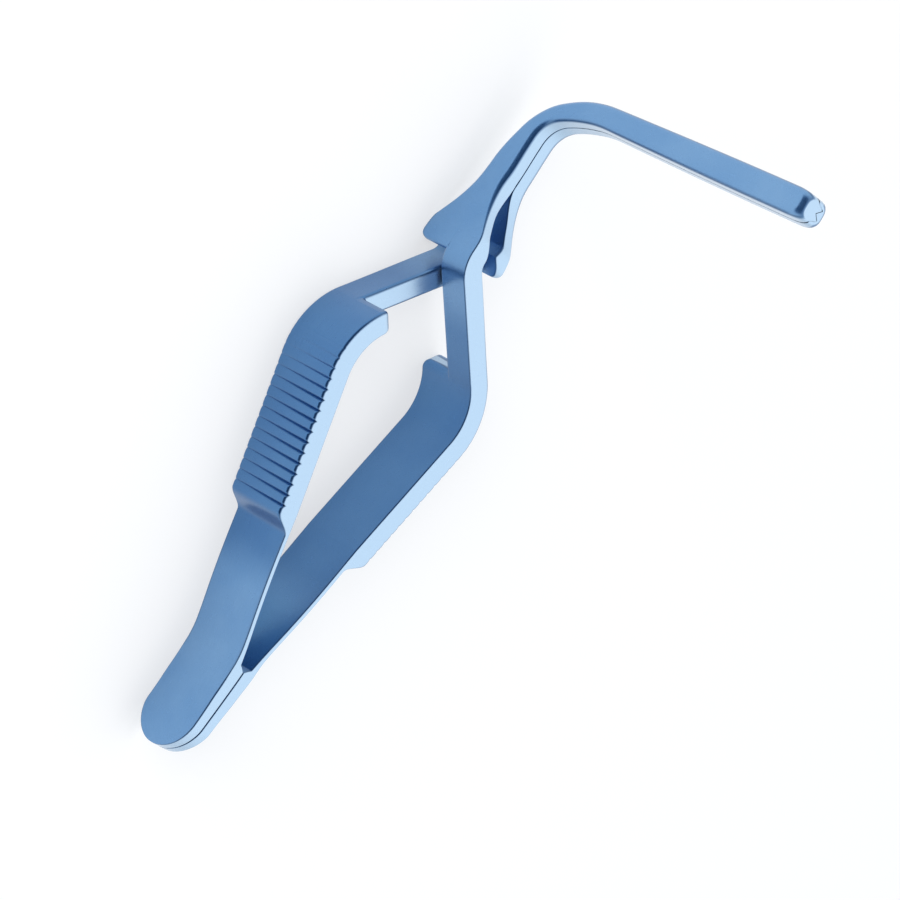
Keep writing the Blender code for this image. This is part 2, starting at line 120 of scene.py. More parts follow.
PAD_FOOT = BUTT_LENGTH + SPRING_LENGTH
PAD_APEX = PAD_FOOT + PAD_LENGTH
SPREAD_START = BUTT_LENGTH - SPREAD_LEAD
APEX_OUT = WELD_SEAM + math.tan(SPREAD_ANGLE) * (PAD_APEX - SPREAD_START)
HEAD_PLACE = PAD_APEX + (APEX_OUT + HEAD_APEX) / math.tan(NECK_ANGLE)
SHANK_OUT = WELD_SEAM + SHANK_THICK
LEAN_END = HEAD_PLACE + (HEAD_APEX - SHANK_OUT) / math.tan(HEAD_LEAN)
PATH = filleted(
    [(0, WELD_SEAM), (SPREAD_START, WELD_SEAM), (PAD_APEX, APEX_OUT), (HEAD_PLACE, -HEAD_APEX),
     (LEAN_END, -SHANK_OUT), (PATH_END, -SHANK_OUT)],
    (SPREAD_RADIUS, SHOULDER_RADIUS, HEAD_RADIUS, HEAD_LEAN_RADIUS))
PATH_TURN = np.arctan2(np.gradient(PATH[:, 1]), np.gradient(PATH[:, 0]))


def path_at(y):
    """Sideways place and lean of the path at the places y."""
    return np.interp(y, PATH[:, 0], PATH[:, 1]), np.interp(y, PATH[:, 0], PATH_TURN)


# Upturned jaw's bend
# Past the head the strip is turned on edge through a right angle over a rounded heel, so that the
# jaws stand up from the handle, first leaning forward a little and then straight.
SHANK_LENGTH = 15.27
BEND_LEAD = 4.0
RISE_LENGTH = 8.0
RISE_HEIGHT = 1.6
LEAN_FORWARD = 3.25
LEAN_LENGTH = 7.2
JAW_FORWARD = 0.4
JAW_HEIGHT = 49.9
RISE_RADIUS = 36.0
HEEL_RADIUS = 6.6
JAW_RADIUS = 19.5
RISE_START = HEAD_PLACE + SHANK_LENGTH
BEND_START = RISE_START - BEND_LEAD
RISE_TOP = (RISE_START + RISE_LENGTH, RISE_HEIGHT)
LEAN_TOP = (RISE_TOP[0] + LEAN_FORWARD, RISE_TOP[1] + LEAN_LENGTH)
BEND = filleted(
    [(BEND_START, 0), (RISE_START, 0), RISE_TOP, LEAN_TOP, (LEAN_TOP[0] + JAW_FORWARD, JAW_HEIGHT)],
    (RISE_RADIUS, HEEL_RADIUS, JAW_RADIUS))
BEND_RUN = distances(BEND)
BEND_STEPS = np.gradient(BEND, axis=0)
BEND_TANGENT = BEND_STEPS / np.linalg.norm(BEND_STEPS, axis=1)[:, None]
HEEL = BEND_START + np.interp(RISE_TOP[0], BEND[:, 0], BEND_RUN)
TIP = BEND_START + BEND_RUN[-1]


def turned_up(points):
    """Carries points past the bend's start along the bend line: a point at (y, z) goes to the line's
    point at run y, plus z times the line's normal."""
    run = np.clip(points[..., 1] - BEND_START, 0, BEND_RUN[-1])
    middle = [np.interp(run, BEND_RUN, BEND[:, axis]) for axis in (0, 1)]
    along = [np.interp(run, BEND_RUN, BEND_TANGENT[:, axis]) for axis in (0, 1)]
    past = points[..., 1] > BEND_START
    bent = points.copy()
    bent[..., 1] = np.where(past, middle[0] - points[..., 2] * along[1], points[..., 1])
    bent[..., 2] = np.where(past, middle[1] + points[..., 2] * along[0], points[..., 2])
    return bent


# Thickness and width of the forging
# The strip is forged down to a thin spring behind the butt, left thick at the thumb pad, thinned
# a little through the neck and spread head, and drawn down to a slim shank and jaw.
HALF_WIDTH = 5.2
SPRING_THICK = 0.75
PAD_THICK = 3.4
NECK_THICK = 3.2
HEAD_THICK = 1.85
NOTCH_LENGTH = 0.9
PAD_STEP = 3.1
LIP_LEAD = 0.35
PLATE_LEAD = 2.1
HEAD_THIN_LEAD = 3.3
HEAD_THIN_LENGTH = 2.1
HEAD_CLOSE_LENGTH = 10.4
TAPER_LEAD = 2.3
TAPER_LENGTH = 8.6
TAPER_EASE = 0.6
TAPER_POWER = 1.9
TAPER_LIMIT = 1.5
TIP_LENGTH = 2.5
SHANK_EDGE = 0.85
SEAM_EDGE = 0.1
SPRING_BOW = 0.35
SHOULDER_REACH = SHOULDER_RADIUS * math.tan((SPREAD_ANGLE + NECK_ANGLE) / 2)
HEAD_REACH = HEAD_RADIUS * math.tan((NECK_ANGLE + HEAD_LEAN) / 2)
PAD_END = PAD_APEX - SHOULDER_REACH * math.cos(SPREAD_ANGLE)
NECK_START = PAD_APEX + SHOULDER_REACH * math.cos(NECK_ANGLE)
NECK_END = HEAD_PLACE - HEAD_REACH * math.cos(NECK_ANGLE)
HEAD_START = HEAD_PLACE + HEAD_REACH * math.cos(HEAD_LEAN)
NOTCH_END = BUTT_LENGTH + NOTCH_LENGTH
LIP_PLACE = NECK_START + LIP_LEAD
PLATE_START = HEAD_START + PLATE_LEAD
HEAD_THIN = HEAD_START + HEAD_THIN_LEAD
HEAD_CLOSE = HEAD_START + HEAD_CLOSE_LENGTH
TAPER_START = HEAD_START + TAPER_LEAD
TIP_START = TIP - TIP_LENGTH


def eased(at, knots):
    """Monotone curve through (place, value) knots: a cubic on each span whose end slopes are the
    harmonic means of the chords beside them, so it never overshoots."""
    place, value = np.array(knots, float).T
    step = np.diff(place)
    slope = np.diff(value) / step
    same = slope[:-1] * slope[1:] > 0
    tangent = np.zeros(len(place))
    tangent[1:-1][same] = 2 * (slope[:-1] * slope[1:])[same] / (slope[:-1] + slope[1:])[same]
    at = np.clip(at, place[0], place[-1])
    span = np.clip(np.searchsorted(place, at) - 1, 0, len(step) - 1)
    u = (at - place[span]) / step[span]
    bends = step[span] * (tangent[span] * u * (1 - u) ** 2 + tangent[span + 1] * u * u * (u - 1))
    return value[span] + (value[span + 1] - value[span]) * u * u * (3 - 2 * u) + bends


def seam_thickness(y):
    """Thickness that brings the inner face to the seam between the arms."""
    out, lean = path_at(y)
    return (-WELD_SEAM - out) / math.cos(lean)


THICKNESS = [
    (0, 1.35), (5.0, 1.70), (9.0, 1.70), (SPREAD_START, 1.54), (BUTT_LENGTH, 1.27),
    (BUTT_LENGTH + 3.2, 0.83), (BUTT_LENGTH + 7.0, SPRING_THICK), (PAD_FOOT, SPRING_THICK),
    (PAD_FOOT + PAD_STEP, PAD_THICK), (PAD_END, PAD_THICK), (LIP_PLACE, NECK_THICK),
    (HEAD_START, NECK_THICK), (HEAD_THIN, HEAD_THICK), (HEAD_THIN + HEAD_THIN_LENGTH, HEAD_THICK),
    (HEAD_CLOSE, seam_thickness(HEAD_CLOSE)), (LEAN_END, seam_thickness(LEAN_END)),
    (TIP, seam_thickness(TIP))]
SLIM_WIDTHS = [
    (LEAN_END, 2.25), (HEEL, 1.3), (HEEL + LEAN_LENGTH, 1.625), (TIP_START, 2.05), (TIP, 1.9)]
OUTER_EDGES = [
    (0, 0.16), (SPREAD_START, 0.24), (BUTT_LENGTH, 0.14), (PAD_FOOT, 0.14), (PAD_FOOT + PAD_STEP, 0.42),
    (LIP_PLACE, 0.42), (NECK_END, 0.18), (HEAD_THIN, 0.18), (HEAD_CLOSE, SEAM_EDGE), (TIP, SEAM_EDGE)]
INNER_EDGES = [
    (0, 0.14), (PAD_FOOT, 0.14), (PAD_FOOT + PAD_STEP, 0.18), (HEAD_START, 0.18), (LEAN_END, SHANK_EDGE),
    (TIP_START, SHANK_EDGE), (TIP, 1.3)]


def half_width(y):
    """Half width at y: a circle's edge round the butt, straight to the head, then a power-law taper
    down to the slim shank. The taper begins as a hyperbola between the two straight lines."""
    round_end = np.sqrt(np.clip(HALF_WIDTH ** 2 - np.clip(HALF_WIDTH - y, 0, None) ** 2, 0, None))
    slim = eased(y, SLIM_WIDTHS)
    left = np.clip(1 - (y - TAPER_START) / TAPER_LENGTH, 0, TAPER_LIMIT)
    tapered = slim + (HALF_WIDTH - slim) * left ** TAPER_POWER
    eased_in = 0.5 * (HALF_WIDTH + tapered - np.sqrt((HALF_WIDTH - tapered) ** 2 + TAPER_EASE ** 2))
    return np.minimum(round_end, eased_in)


def rib(y):
    """Inner point, unit direction and thickness across the arm at y. The butt's inner face stays on
    the weld seam, and the spring's bows outward by a half sine."""
    out, lean = path_at(y)
    across = np.stack([np.cos(lean), -np.sin(lean)], axis=-1)
    bowed = np.clip((y - NOTCH_END) / (PAD_FOOT + PAD_STEP - NOTCH_END), 0, 1)
    bow = SPRING_BOW * np.sin(math.pi * bowed)
    opened = np.clip((y - BUTT_LENGTH) / (NOTCH_END - BUTT_LENGTH), 0, 1)
    land = (WELD_SEAM - out) / np.cos(lean)
    start = np.where(y < NOTCH_END, land * (1 - opened) + bow * opened, bow)
    thickness = eased(y, THICKNESS) + bow - start
    return np.stack([out, y], axis=-1) + across * start[:, None], across, thickness


# Sections along the arm
# The pads are filed with cross grooves for the thumb and finger, and the jaws' ridges with teeth.
# Each row here is one cut across the forging: its place, how far it has turned round the shoulder's
# lip, whether only the neck's half is left, and the groove, tooth and rounded tip there.
NECK_FLANK = 0.15
CORNER = 0.45
LIP_CORNER = 0.85
GROOVE_COUNT = 16
GROOVE_PITCH = 1.5
GROOVE_WIDTH = 1.0
GROOVE_DEPTH = 0.42
GROOVE_LEAD = 0.9
GROOVE_FADE_COUNT = 5
GROOVE_PLACES = np.array([-0.5, -0.38, -0.26, -0.14, -0.05, 0.0, 0.05, 0.14, 0.26, 0.38, 0.5])
GENTLE_SIDE = 1.8
STEEP_SIDE = 3.0
PAD_SAMPLES = 1500
TOOTH_LEAD = 9.0
TOOTH_PITCH = 1.6
TOOTH_DEPTH = 0.3
TOOTH_POINTS = 4
TIP_ROUND = 1.1
FIRST_TURN = 0.1
BUTT_ROUND_CUTS = 26
BUTT_CUTS = 0.5
NOTCH_CUTS = 0.12
SPRING_CUTS = 0.45
PAD_STEP_CUTS = 0.14
SHOULDER_CUTS = 0.4
NECK_CUTS = 0.5
HEAD_CUTS = 0.25
SHANK_CUTS = 0.4
QUARTER_TURN = 0.5 * math.pi
QUARTER = np.linspace(0, QUARTER_TURN, 6)


def cuts(y, lip=0.0, inset=0.0, half=0.0, groove=0.0, jaw=0.0, tooth=0.0, tip=0.0):
    """Rows of sections at the places y."""
    columns = np.broadcast_arrays(np.asarray(y, float), lip, inset, half, groove, jaw, tooth, tip)
    return np.column_stack(columns)


def spaced(start, end, step):
    """Even places from start up to end, without start."""
    return np.linspace(start, end, int((end - start) / step) + 2)[1:]


def grooved():
    """Places and depths of the grooves, at an even pitch along the outer face. At the share s of its
    width from its middle a groove has (1 - 2 |s|) to a power of its depth, a steeper power on the
    jaw's side, and the last grooves are ever shallower."""
    y = np.linspace(PAD_FOOT, LIP_PLACE, PAD_SAMPLES)
    start, across, thickness = rib(y)
    run = distances(start + across * thickness[:, None])
    first = np.interp(PAD_FOOT + PAD_STEP, y, run) + GROOVE_LEAD
    power = np.where(GROOVE_PLACES > 0, STEEP_SIDE, GENTLE_SIDE)
    share = (1 - 2 * np.abs(GROOVE_PLACES)) ** power
    index = np.arange(GROOVE_COUNT)[:, None]
    depth = GROOVE_DEPTH * np.minimum(1, (GROOVE_COUNT - index) / (GROOVE_FADE_COUNT + 1)) * share
    place = np.interp(first + index * GROOVE_PITCH + GROOVE_PLACES * GROOVE_WIDTH, run, y)
    keep = place < LIP_PLACE - LIP_CORNER - 0.5 * GROOVE_WIDTH
    return place[keep], depth[keep]


groove_places, groove_depths = grooved()
TOOTH_START = HEEL + TOOTH_LEAD
lip_fall = LIP_CORNER * (1 - np.cos(QUARTER))
rise_places = spaced(RISE_START, TOOTH_START, HEAD_CUTS)
rise_share = np.clip((rise_places - HEEL) / (TOOTH_START - HEEL), 0, 1)
TEETH_LENGTH = TIP - TIP_ROUND - TOOTH_START
TOOTH_COUNT = int(TEETH_LENGTH / TOOTH_PITCH)
tooth_turn = np.linspace(0, 2 * math.pi * TOOTH_COUNT, TOOTH_POINTS * TOOTH_COUNT + 1)[1:]
tooth_places = TOOTH_START + TEETH_LENGTH * tooth_turn / tooth_turn[-1]
tooth_depths = TOOTH_DEPTH * (0.5 - 0.5 * np.cos(tooth_turn))
tip_turn = QUARTER[1:]
SECTIONS = np.concatenate([
    cuts(HALF_WIDTH * (1 - np.cos(np.linspace(FIRST_TURN, QUARTER_TURN, BUTT_ROUND_CUTS)))),
    cuts(spaced(HALF_WIDTH, BUTT_LENGTH, BUTT_CUTS)),
    cuts(spaced(BUTT_LENGTH, NOTCH_END, NOTCH_CUTS)),
    cuts(spaced(NOTCH_END, PAD_FOOT, SPRING_CUTS)),
    cuts(spaced(PAD_FOOT, PAD_FOOT + PAD_STEP, PAD_STEP_CUTS)),
    cuts(groove_places, groove=groove_depths),
    cuts(spaced(groove_places[-1], LIP_PLACE - LIP_CORNER, SHOULDER_CUTS)),
    cuts(LIP_PLACE - LIP_CORNER * (1 - np.sin(QUARTER)), lip=QUARTER, inset=lip_fall),
    cuts([LIP_PLACE], lip=QUARTER_TURN, half=1.0),
    cuts(spaced(LIP_PLACE, NECK_END, NECK_CUTS), lip=QUARTER_TURN, half=1.0),
    cuts(spaced(NECK_END, HEAD_START, HEAD_CUTS), lip=QUARTER_TURN, half=1.0),
    cuts(spaced(HEAD_START, PLATE_START, HEAD_CUTS), lip=QUARTER_TURN, half=1.0),
    cuts([PLATE_START]),
    cuts(spaced(PLATE_START, HEAD_CLOSE, HEAD_CUTS)),
    cuts(spaced(HEAD_CLOSE, RISE_START, SHANK_CUTS)),
    cuts(rise_places, jaw=rise_share * rise_share * (3 - 2 * rise_share)),
    cuts(tooth_places, jaw=1.0, tooth=tooth_depths),
    cuts(TIP - TIP_ROUND * (1 - np.sin(tip_turn)), jaw=1.0, tip=tip_turn)])


# Ring round a section
# The strip's long edges are broken by a small radius and the neck's cut edge by a larger one. The
# grooves are filed shallower towards the side that the neck keeps. The jaw's working side carries
# two ridges on one arm and the channels that take them on the other.
SUPPORT = 0.04
LAND = np.array([0.06, 0.2, 0.4, 0.6, 0.8, 0.94])
FLANK_SHARE = 0.3
FLANK_LIMIT = 0.7
GROOVE_MIDDLE = 0.74
GROOVE_TILT = 0.42
RIDGE_HEIGHT = 1.5
RIDGE_PLACE = 0.8
VALLEY_HEIGHT = 0.5
CREST_WIDTH = 0.35
JAW_CLEARANCE = 0.03
TIP_INSET = 0.95
TIP_INSET_SHARE = 0.8
TIP_SIDE_INSET = 0.55
OUTER_EDGE_SHARE = 0.35
INNER_EDGE_SHARE = 0.75


def side_of(thickness, wide, edge, row):
    """(depth, level) of one side of every section, from its upper edge to its lower edge: an arc, a
    flat land, the corner that turns down the neck's flank, a second land and a second arc. Where
    only the neck is left the second land and arc lie on that flank."""
    lip, inset, half = row["lip"], row["inset"], row["half"]
    flat = np.ones((len(thickness), 1))
    level = np.minimum(np.minimum(NECK_FLANK + CORNER, FLANK_SHARE * wide), FLANK_LIMIT * (wide - edge))
    low = -wide + inset + edge
    upper_depth = [thickness - edge - SUPPORT, thickness - edge + edge * np.sin(QUARTER), thickness * flat]
    upper_level = [wide, wide - edge + edge * np.cos(QUARTER), wide - edge - SUPPORT]
    land_level = (wide - edge - SUPPORT) + (level + SUPPORT - wide + edge + SUPPORT) * LAND
    corner_depth = thickness - CORNER * (1 - np.cos(np.minimum(QUARTER, lip)))
    corner_level = level - CORNER * np.sin(QUARTER) * np.minimum(1, level / (NECK_FLANK + CORNER))
    second_start = corner_level[:, -1:] - SUPPORT
    second_level = second_start + (low + SUPPORT - second_start) * LAND
    fallen = thickness - inset
    lower_depth = [fallen * np.ones_like(LAND), fallen * flat,
                   fallen - edge * (1 - np.cos(QUARTER)), fallen - edge - SUPPORT]
    lower_level = [second_level, low + SUPPORT, low - edge * np.sin(QUARTER), low - edge]
    lower_depth = np.concatenate(lower_depth, axis=1)
    lower_level = np.concatenate(lower_level, axis=1)
    share = (np.arange(lower_depth.shape[1]) + 1) / (lower_depth.shape[1] + 0.5)
    flank_depth = thickness - CORNER - share * (0.5 * thickness - CORNER)
    lower_depth = np.where(half > 0, flank_depth, lower_depth)
    lower_level = np.where(half > 0, NECK_FLANK, lower_level)
    land_depth = thickness * np.ones_like(LAND)
    depth = np.concatenate(upper_depth + [land_depth, corner_depth, lower_depth], axis=1)
    place = np.concatenate(upper_level + [land_level, corner_level, lower_level], axis=1)
    return depth, place


def arm_grid(hand):
    """Points (section, round the ring, xyz) of one arm. Each point is the rib's inner point plus its
    depth along the rib, at its level. hand is 1 for the two ridges and -1 for the channels."""
    y, lip, inset, half, groove, jaw, tooth, tip = (column[:, None] for column in SECTIONS.T)
    start, across, thickness = rib(y[:, 0])
    thickness = thickness[:, None]
    wide = half_width(y) - TIP_SIDE_INSET * (1 - np.cos(tip))
    wall = thickness - SEAM_EDGE - (RIDGE_HEIGHT if hand < 0 else 0.0)
    cut = np.minimum(TIP_INSET, TIP_INSET_SHARE * wall) * (1 - np.cos(tip))
    start = start[:, None, :] + across[:, None, :] * cut[..., None]
    thickness = thickness - cut
    largest = np.minimum(thickness, wide)
    row = {"lip": lip, "inset": inset, "half": half}
    outer_edge = np.minimum(eased(y, OUTER_EDGES), OUTER_EDGE_SHARE * largest)
    inner_edge = np.minimum(eased(y, INNER_EDGES), INNER_EDGE_SHARE * largest)
    outer_depth, outer_level = side_of(thickness, wide, outer_edge, row)
    inner_depth, inner_level = side_of(thickness, wide, inner_edge, row)
    reach = np.abs(outer_level)
    valley = VALLEY_HEIGHT + (RIDGE_HEIGHT - VALLEY_HEIGHT) * reach / RIDGE_PLACE
    slope = RIDGE_HEIGHT * np.clip((wide - reach) / (wide - RIDGE_PLACE), 0, 1)
    ridge = np.where(reach < RIDGE_PLACE, valley, slope)
    crest = np.exp(-((reach - RIDGE_PLACE) / CREST_WIDTH) ** 2)
    working_side = hand * (jaw * ridge - tooth * crest) - JAW_CLEARANCE * jaw
    outer_depth = outer_depth - groove * (GROOVE_MIDDLE - GROOVE_TILT * outer_level / HALF_WIDTH)
    outer_depth = outer_depth + np.where(jaw > 0, working_side, 0.0)
    depth = np.concatenate([outer_depth, (thickness - inner_depth)[:, ::-1]], axis=1)
    level = np.concatenate([outer_level, inner_level[:, ::-1]], axis=1)
    flat = start + depth[..., None] * across[:, None, :]
    return np.concatenate([flat, level[..., None]], axis=2)


# Blue anodised finish
# Ti-6Al-4V, satin ground along the strip and anodised sky blue. The metal's grain shows through the
# clear oxide film, which is paler where it is rubbed. Light and shade are also painted into the colour:
# a painted highlight pales the strip's narrow sides and the jaws' ends, a painted reflection of the dim
# room darkens their rims in thin lines, and painted shade darkens the pads, shoulders and necks, and
# the slot beside the weld.
TINT = (0.115, 0.28, 0.54)
RUBBED_TINT = (0.20, 0.38, 0.62)
RUBBED_SHARE = 0.4
# Painted highlight: the narrow sides and the jaws' ends are made paler, standing in for the bright room
# they mirror.
SIDE_PAINTED_SHEEN = (0.39, 0.54, 0.70)
# Painted reflection: thin dark lines along the rounded edges, standing in for the dim room they mirror.
RIM_PAINTED_SHADE = (0.02, 0.09, 0.22)
RIM_SHADE_STRENGTH = 3.2
# Painted shade: the pads, shoulders and necks are darkened along this stretch of the arm.
PAD_PAINTED_SHADE = (0.45, 0.62, 0.74)
PAD_SHADE_RISE = (24.5, 31.5)
PAD_SHADE_FADE = (76.0, 84.0)
# Painted shade: the inner faces in the slot between the arms beside the weld are darkened.
SLOT_PAINTED_SHADE = (0.42, 0.66, 0.78)
SLOT_SHADE_RISE = (12.0, 15.0)
SLOT_SHADE_FADE = (20.0, 33.0)
INNER_FACE = (10.9, 11.3)
CLOUD_NOISE = {"Scale": 90.0, "Detail": 3.0}
GRAIN_NOISE = {"Scale": 1.0, "Detail": 4.0}
SPECK_NOISE = {"Scale": 5200.0, "Detail": 2.0}
CLOUD_SHARE = 1.3
GRAIN_STRETCH = (0.35, 9.0, 1.0)
GRAIN_SHARE = 0.5
METALLIC = 0.94
ROUGHNESS = 0.3
GRAIN_ROUGHNESS = 0.12
SPECK_ROUGHNESS = 0.1
GRAIN_HEIGHT = 0.4
BUMP_STRENGTH = 0.12
BUMP_DISTANCE = 0.03
COAT = 0.5
COAT_ROUGHNESS = 0.18


class Signal:
    """A socket of a material. Arithmetic on it adds Math nodes, and node() adds any other node."""

    def __init__(self, tree, socket=None):
        self.tree = tree
        self.socket = socket

    def node(self, kind, settings, values, outlet=0):
        """A node of this type, its settings first and then its sockets' values or links."""
        made = self.tree.nodes.new(kind)
        for name, value in settings.items():
            setattr(made, name, value)
        for name, value in values.items():
            if isinstance(value, Signal):
                self.tree.links.new(value.socket, made.inputs[name])
            else:
                made.inputs[name].default_value = value
        return Signal(self.tree, made.outputs[outlet] if made.outputs else None)

    def maths(self, operation, first, second):
        return self.node("ShaderNodeMath", {"operation": operation}, {0: first, 1: second})

    def mixed(self, first, second, blend="MIX"):
        """First colour, going over to the second, or to its product with it, as this rises from 0 to 1.
        A Mix node's colours are its sockets 6 and 7, and its colour result is its outlet 2."""
        first, second = (colour if isinstance(colour, Signal) else colour + (1.0,)
                         for colour in (first, second))
        return self.node("ShaderNodeMix", {"data_type": "RGBA", "blend_type": blend},
                         {0: self, 6: first, 7: second}, 2)

    def step(self, span):
        """Smooth step from 0 at the span's start to 1 at its end."""
        return self.node("ShaderNodeMapRange", {"interpolation_type": "SMOOTHSTEP"},
                         {"Value": self, "From Min": span[0], "From Max": span[1]}, "Result")

    def clamped(self):
        """This kept between 0 and 1."""
        return self.node("ShaderNodeClamp", {}, {"Value": self})

    def __add__(self, other):
        return self.maths("ADD", self, other)

    def __radd__(self, other):
        return self.maths("ADD", other, self)

    def __sub__(self, other):
        return self.maths("SUBTRACT", self, other)

    def __rsub__(self, other):
        return self.maths("SUBTRACT", other, self)

    def __mul__(self, other):
        return self.maths("MULTIPLY", self, other)

    def __rmul__(self, other):
        return self.maths("MULTIPLY", other, self)

    def __truediv__(self, other):
        return self.maths("DIVIDE", self, other)

    def __rtruediv__(self, other):
        return self.maths("DIVIDE", other, self)


def noise(start, place, kind):
    """Noise of this scale and detail at this place, between 0 and 1 and about a half on average."""
    return start.node("ShaderNodeTexNoise", {}, {"Vector": place} | kind, "Fac")


def anodised(name):
    """Satin blue titanium: cloudy tint, fine grain along the strip, and a soft tumbled bump. The UV
    map grain is the run along the arm and the girth round it, in millimetres."""
    material = bpy.data.materials.new(name)
    material.use_nodes = True
    material.node_tree.nodes.clear()
    start = Signal(material.node_tree)
    place = start.node("ShaderNodeTexCoord", {}, {}, "Object")
    strip = start.node("ShaderNodeUVMap", {"uv_map": "grain"}, {}, "UV")
    stretched = start.node("ShaderNodeMapping", {}, {"Vector": strip, "Scale": GRAIN_STRETCH}, "Vector")
    side = start.node("ShaderNodeAttribute", {"attribute_name": "side"}, {}, "Fac")
    run = start.node("ShaderNodeSeparateXYZ", {}, {"Vector": strip}, "X")
    girth = start.node("ShaderNodeSeparateXYZ", {}, {"Vector": strip}, "Y")
    cloud = noise(start, place, CLOUD_NOISE)
    grain = noise(start, stretched, GRAIN_NOISE)
    speck = noise(start, place, SPECK_NOISE)
    rubbed = ((cloud - 0.5) * CLOUD_SHARE + (grain - 0.5) * GRAIN_SHARE + RUBBED_SHARE).clamped()
    shaded_pad_share = run.step(PAD_SHADE_RISE) - run.step(PAD_SHADE_FADE)
    shaded_slot_share = (run.step(SLOT_SHADE_RISE) - run.step(SLOT_SHADE_FADE)) * girth.step(INNER_FACE)
    tint = rubbed.mixed(TINT, RUBBED_TINT)
    # Painted shade: darker colour over the pads, shoulders and necks.
    tint = shaded_pad_share.mixed(tint, PAD_PAINTED_SHADE, "MULTIPLY")
    # Painted shade: darker colour on the inner faces in the slot beside the weld.
    tint = shaded_slot_share.mixed(tint, SLOT_PAINTED_SHADE, "MULTIPLY")
    # Painted highlight: paler colour on the strip's narrow sides and the jaws' ends.
    tint = side.mixed(tint, SIDE_PAINTED_SHEEN)
    # Painted reflection: dark lines along the rims, where the narrow sides round over into the broad
    # faces.
    tint = (side * (1.0 - side) * RIM_SHADE_STRENGTH).mixed(tint, RIM_PAINTED_SHADE)
    roughness = ROUGHNESS + (grain - 0.5) * GRAIN_ROUGHNESS + (speck - 0.5) * SPECK_ROUGHNESS
    height = grain * GRAIN_HEIGHT + speck
    bump = start.node("ShaderNodeBump", {}, {
        "Strength": BUMP_STRENGTH, "Distance": BUMP_DISTANCE * MM, "Height": height}, "Normal")
    surface = start.node("ShaderNodeBsdfPrincipled", {}, {
        "Base Color": tint, "Metallic": METALLIC, "Roughness": roughness, "Normal": bump,
        "Coat Weight": COAT, "Coat Roughness": COAT_ROUGHNESS}, "BSDF")
    start.node("ShaderNodeOutputMaterial", {}, {"Surface": surface})
    return material


blue = anodised("blue_titanium_satin")


# The two arms
# Each arm is one forging from the butt to the jaw's tip. The butts are welded face to face and lean
# a little to the left, and each arm's spring strip bows outward a little.
BUTT_LEAN = math.radians(8.0)
BUTT_LEAN_EASE = 2.0
CAP_SHARE = 0.96
SIDE_EDGE = 0.2
END_POWER = 4
SHARP_ANGLE = math.radians(28)
BUTT_END = packed_bounds[0][1] / MM
FOOT = np.array([0.0, HALF_WIDTH * (1 - math.cos(FIRST_TURN)) - BUTT_END, -HALF_WIDTH])


def placed(points, hand):
    """The points on their own side of the clamp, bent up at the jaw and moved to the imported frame.
    Behind the notch the butt leans to the left by tan(lean) d^2 / (d + ease) at the distance d."""
    points = turned_up(points * np.array([hand, 1, hand])) - FOOT
    behind = np.clip(NOTCH_END - FOOT[1] - points[..., 1], 0, None)
    points[..., 0] -= math.tan(BUTT_LEAN) * behind ** 2 / (behind + BUTT_LEAN_EASE)
    return points * MM


def grain_map(grid, row, column):
    """UV of every quad's corners and of the two caps' corners, in millimetres: the distance along the
    rings' centres, and the distance round the ring."""
    count, around = grid.shape[:2]
    centres = grid.mean(axis=1)
    along = np.cumsum(np.linalg.norm(np.diff(centres, axis=0, prepend=centres[:1]), axis=1))
    ring = np.concatenate([grid, grid[:, :1]], axis=1)
    girth = np.cumsum(np.linalg.norm(np.diff(ring, axis=1), axis=2), axis=1)
    girth = np.concatenate([np.zeros((count, 1)), girth], axis=1)
    corner_u = np.stack([along[row], along[row], along[row + 1], along[row + 1]], axis=-1)
    corner_v = np.stack([girth[row, column], girth[row, column + 1],
                         girth[row + 1, column + 1], girth[row + 1, column]], axis=-1)
    quads = np.stack([corner_u, corner_v], axis=-1).reshape(-1, 2)
    caps = np.repeat([[along[0], 0.0], [along[-1], 0.0]], around, axis=0)
    return np.concatenate([quads, caps]) / MM


def skinned(name, flat, hand, end_turn, covered=False):
    """Closed mesh over a flat grid of rings, capped and then put in place, with its UV map grain. Its
    nearness to either long side of the strip becomes the attribute side, as does its turn from a
    face towards a flat end. An upper side that is covered by another body is left out."""
    caps = [flat[end].mean(axis=0) * (1 - CAP_SHARE) + flat[end] * CAP_SHARE for end in (0, -1)]
    flat = np.concatenate([caps[0][None], flat, caps[1][None]])
    count, around = flat.shape[:2]
    level = flat[..., 2]
    inside = level - level.min(axis=1, keepdims=True)
    if not covered:
        inside = np.minimum(inside, level.max(axis=1, keepdims=True) - level)
    end = np.pad(end_turn, (1, 1), "edge")[:, None] ** END_POWER
    # This mask carries the painted highlight on the narrow sides and ends, and the painted dark lines
    # along their rims.
    side = np.maximum(np.clip(1 - inside / SIDE_EDGE, 0, 1), end)
    grid = placed(flat, hand)
    row, column = np.meshgrid(np.arange(count - 1), np.arange(around), indexing="ij")
    after = (column + 1) % around
    quads = np.stack([row * around + column, row * around + after,
                      (row + 1) * around + after, (row + 1) * around + column], axis=-1).reshape(-1, 4)
    ends = [list(range(around))[::-1], list(range((count - 1) * around, count * around))]
    mesh = bpy.data.meshes.new(name)
    mesh.from_pydata(grid.reshape(-1, 3).tolist(), [], quads.tolist() + ends)
    mesh.uv_layers.new(name="grain").data.foreach_set("uv", grain_map(grid, row, column).ravel())
    mesh.attributes.new("side", "FLOAT", "POINT").data.foreach_set("value", side.ravel())
    shell = bmesh.new()
    shell.from_mesh(mesh)
    bmesh.ops.recalc_face_normals(shell, faces=shell.faces)
    shell.to_mesh(mesh)
    shell.free()
    mesh.shade_smooth()
    mesh.set_sharp_from_angle(angle=SHARP_ANGLE)
    mesh.materials.append(blue)
    piece = bpy.data.objects.new(name, mesh)
    bpy.context.scene.collection.objects.link(piece)
    return piece


